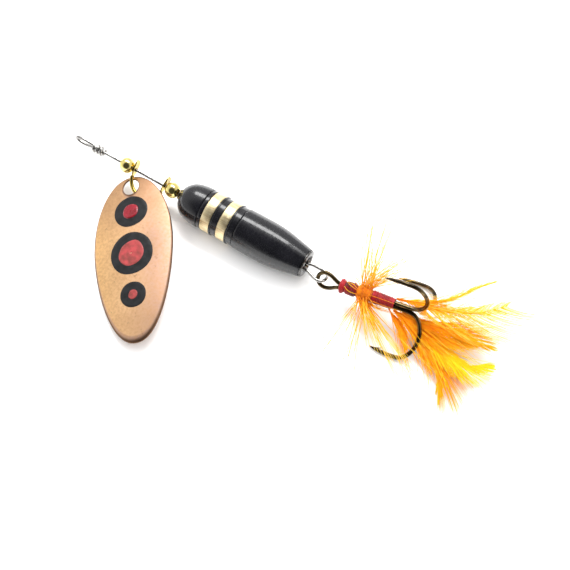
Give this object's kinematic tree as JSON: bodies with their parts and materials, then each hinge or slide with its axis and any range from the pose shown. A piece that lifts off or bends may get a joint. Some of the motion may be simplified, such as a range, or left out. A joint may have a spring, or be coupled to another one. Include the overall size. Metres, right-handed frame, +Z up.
{
  "type": "inline spinner",
  "caption": "Inline spinner lure: wire shaft with a swinging copper blade on a clevis, beads, a weighted black body with brass bands and a feather-dressed treble hook.",
  "frame": {"origin": "under the middle of the bounding box, on the surface the lure lies on", "axes": "+X along the shaft from the line tie to the hook, +Z up from the surface"},
  "size_m": [0.12, 0.0576, 0.019],
  "materials": {
    "steel_wire": "bright drawn",
    "brass_bead": "polished",
    "brass_clevis": "polished",
    "copper_blade": "satin copper plate",
    "dark_collar": "dark",
    "core_brass": "plain",
    "black_lacquer": "gloss black",
    "turned_brass": "fine turned",
    "bright_rim": "bright",
    "bronzed_hook": "bronzed",
    "red_thread": "wound floss",
    "orange_hackle": "dyed feather",
    "orange_feather": "dyed feather",
    "yellow_feather": "dyed feather"
  },
  "bodies": {
    "wire": {"wire_shaft": "steel_wire"},
    "upper_bead": {"upper_bead": "brass_bead"},
    "clevis": {"clevis": "brass_clevis"},
    "blade": {"blade": "copper_blade"},
    "lower_bead": {"lower_bead": "brass_bead"},
    "body": {"nose_collar": "dark_collar", "core_tube": "core_brass", "nose_cone": "black_lacquer", "front_ring": "black_lacquer", "band_front": "turned_brass", "band_spacer": "black_lacquer", "band_rear": "turned_brass", "rear_ring": "black_lacquer", "barrel": "black_lacquer", "tail_ferrule": "bright_rim"},
    "hook": {"double_hook": "bronzed_hook", "single_hook": "bronzed_hook", "thread_head": "red_thread", "thread_front": "red_thread", "hackle_collar": "orange_hackle", "thread_rear": "red_thread", "feather_wisp": "orange_feather", "feather_upper": "orange_feather", "feather_pointed": "orange_feather", "feather_long": "orange_feather", "feather_yellow": "yellow_feather", "feather_curled": "orange_feather", "feather_short": "orange_feather"}
  },
  "joints": [
    {"name": "upper_bead_slide", "type": "slide", "parent": "wire", "child": "upper_bead", "axis": [-0.9998, 0, 0.0175], "range_m": [0, 0.0042]},
    {"name": "clevis_spin", "type": "hinge", "parent": "wire", "child": "clevis", "pos_m": [-0.03733, 0.01039, 0.00595], "axis": [0.9998, 0, -0.0175], "continuous": true},
    {"name": "blade_swing", "type": "hinge", "parent": "clevis", "child": "blade", "pos_m": [-0.04051, 0.00639, 0.00426], "axis": [-0.7652, -0.5516, -0.332], "range_deg": [0, 100]},
    {"name": "lower_bead_spin", "type": "hinge", "parent": "wire", "child": "lower_bead", "pos_m": [-0.03056, 0.01039, 0.00583], "axis": [0.9998, 0, -0.0175], "continuous": true},
    {"name": "body_spin", "type": "hinge", "parent": "wire", "child": "body", "pos_m": [-0.00759, 0.01039, 0.00543], "axis": [0.9998, 0, -0.0175], "continuous": true},
    {"name": "hook_swing", "type": "hinge", "parent": "wire", "child": "hook", "pos_m": [0.01436, 0.00945, 0.00521], "axis": [-0.0949, 0.8626, -0.4969], "range_deg": [-70, 70]}
  ]
}
